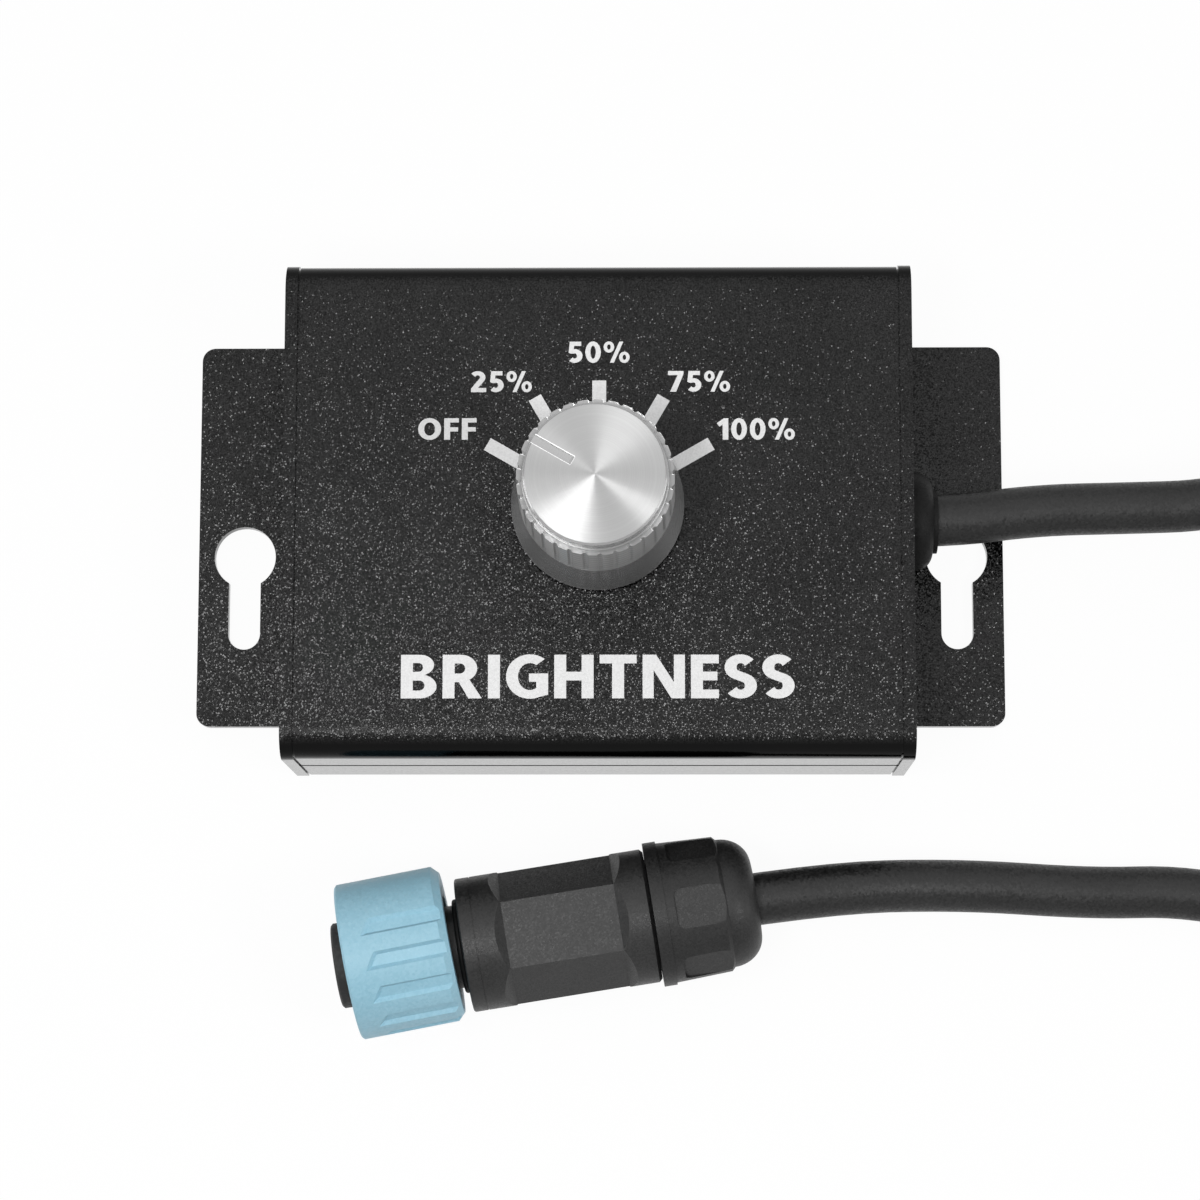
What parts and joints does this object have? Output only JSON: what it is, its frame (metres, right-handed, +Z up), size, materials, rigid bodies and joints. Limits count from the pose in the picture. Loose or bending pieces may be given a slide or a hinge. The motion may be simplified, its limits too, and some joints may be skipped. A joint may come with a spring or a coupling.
{
  "type": "grow light dimmer",
  "caption": "Black box-shaped rotary dimmer with a bright turned knob, keyhole mounting feet at both ends and a round lead to a screw-coupled cable connector.",
  "frame": {"origin": "under the middle of the box, on the surface that the feet rest on", "axes": "+X along the box towards the cable exit, +Y away from the front, +Z up through the knob"},
  "size_m": [0.2327, 0.0996, 0.0444],
  "materials": {
    "box_coat": "fine black textured powder coat on extruded aluminium",
    "plate_coat": "fine black textured powder coat on folded sheet",
    "screw_steel": "black zinc",
    "grommet_rubber": "satin black",
    "switch_metal": "bright zinc",
    "spring_steel": "polished",
    "switch_plastic": "moulded black",
    "wafer_board": "phenolic brown",
    "contact_metal": "tinned and gilt contacts",
    "board": "green solder mask",
    "resistor": "black glaze",
    "core_red": "red insulation",
    "core_black": "black insulation",
    "core_white": "white insulation",
    "knob_metal": "bright turned, spun top",
    "knob_plastic": "moulded black",
    "connector_plastic": "fine matte dark grey",
    "clamp_plastic": "satin near-black, grained pads",
    "insert_plastic": "moulded black",
    "coupling_plastic": "satin sky blue",
    "seal_rubber": "soft black",
    "sheath": "matte black sheath",
    "tie": "black twist tie"
  },
  "bodies": {
    "housing": {"upper_shell": "box_coat", "lower_shell": "box_coat", "left_end_plate": "plate_coat", "right_end_plate": "plate_coat", "end_screws": "screw_steel", "cable_grommet": "grommet_rubber", "switch_frame": "switch_metal", "switch_washer": "switch_metal", "switch_nut": "switch_metal", "switch_housing": "switch_plastic", "switch_wafer": "wafer_board", "switch_terminals": "contact_metal", "contacts": "contact_metal", "circuit_board": "board", "resistors": "resistor", "core_1": "core_red", "core_2": "core_black", "core_3": "core_white", "connector_cores": "core_white", "connector_body": "connector_plastic", "clamp_nut": "clamp_plastic", "clamp_cage": "clamp_plastic", "contact_insert": "insert_plastic", "neck_seal": "seal_rubber", "cable_seal": "seal_rubber", "cable_back": "sheath", "cable_front": "sheath", "cable_coil": "sheath", "coil_tie": "tie"},
    "knob": {"knob_shell": "knob_metal", "knob_insert": "knob_plastic", "switch_shaft": "switch_metal", "switch_rotor": "switch_plastic", "switch_wiper": "contact_metal", "detent_balls": "spring_steel", "detent_spring": "spring_steel"},
    "coupling_nut": {"coupling_nut": "coupling_plastic"}
  },
  "joints": [
    {"name": "knob_turn", "type": "hinge", "parent": "housing", "child": "knob", "pos_m": [0, 0, 0.02315], "axis": [0, 0, -1], "range_deg": [0, 120]},
    {"name": "coupling_nut_spin", "type": "hinge", "parent": "housing", "child": "coupling_nut", "pos_m": [-0.02438, -0.05339, 0.00967], "axis": [0.9815, 0.1917, 0], "continuous": true}
  ]
}
